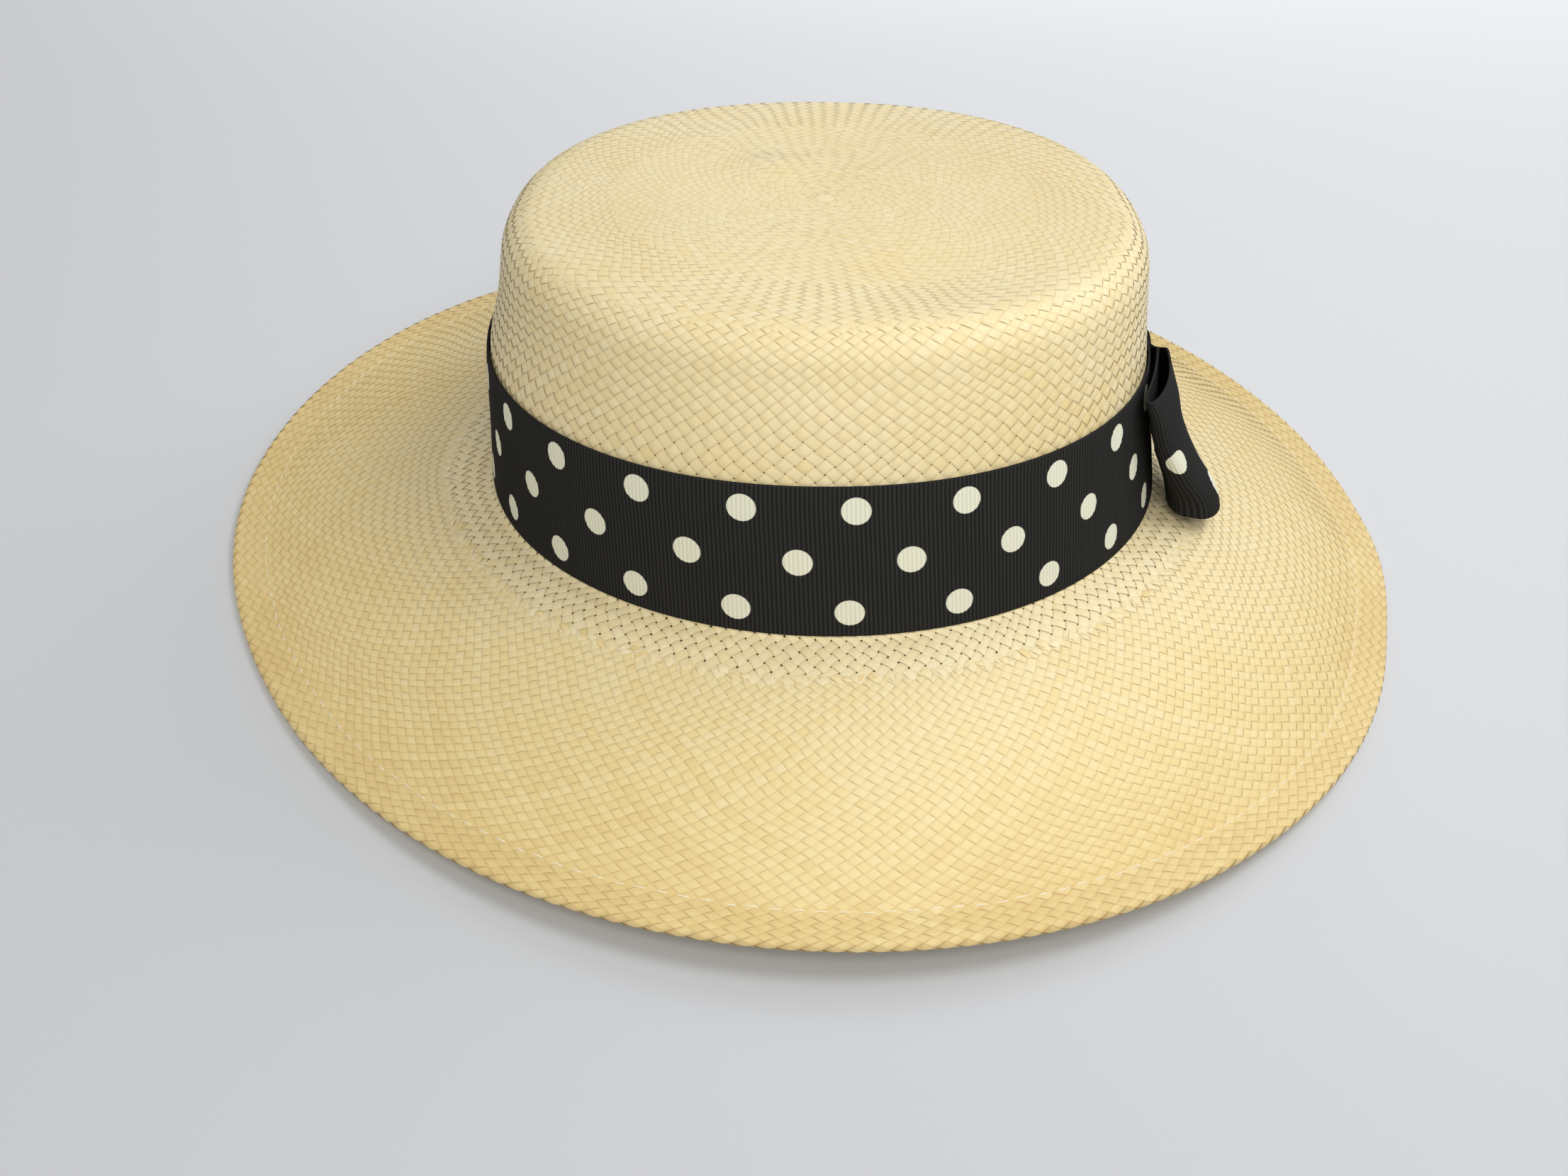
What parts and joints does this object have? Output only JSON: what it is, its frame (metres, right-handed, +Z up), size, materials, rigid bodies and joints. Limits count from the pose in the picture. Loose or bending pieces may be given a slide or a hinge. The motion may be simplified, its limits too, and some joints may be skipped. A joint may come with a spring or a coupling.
{
  "type": "woven straw hat with a flat-topped crown and a wide brim",
  "caption": "Natural woven straw hat with a flat-topped oval crown, a wide softly drooping brim and a black dotted ribbon tied in a flat bow at the side.",
  "frame": {"origin": "bottom centre of the bounding box, on the surface that the brim rests on", "axes": "+Z up, +Y toward the wearer's front and along the brim's longer half size, +X toward the wearer's right, where the bow sits"},
  "size_m": [0.3196, 0.3399, 0.1002],
  "materials": {
    "straw": "natural straw, plain woven, soft sheen",
    "ribbon": "black ribbed ribbon with off-white dots, soft sheen"
  },
  "bodies": {
    "root": {"crown_and_brim": "straw", "hat_band": "ribbon", "bow_back_loop": "ribbon", "bow_front_loop": "ribbon", "bow_knot": "ribbon"}
  },
  "joints": []
}
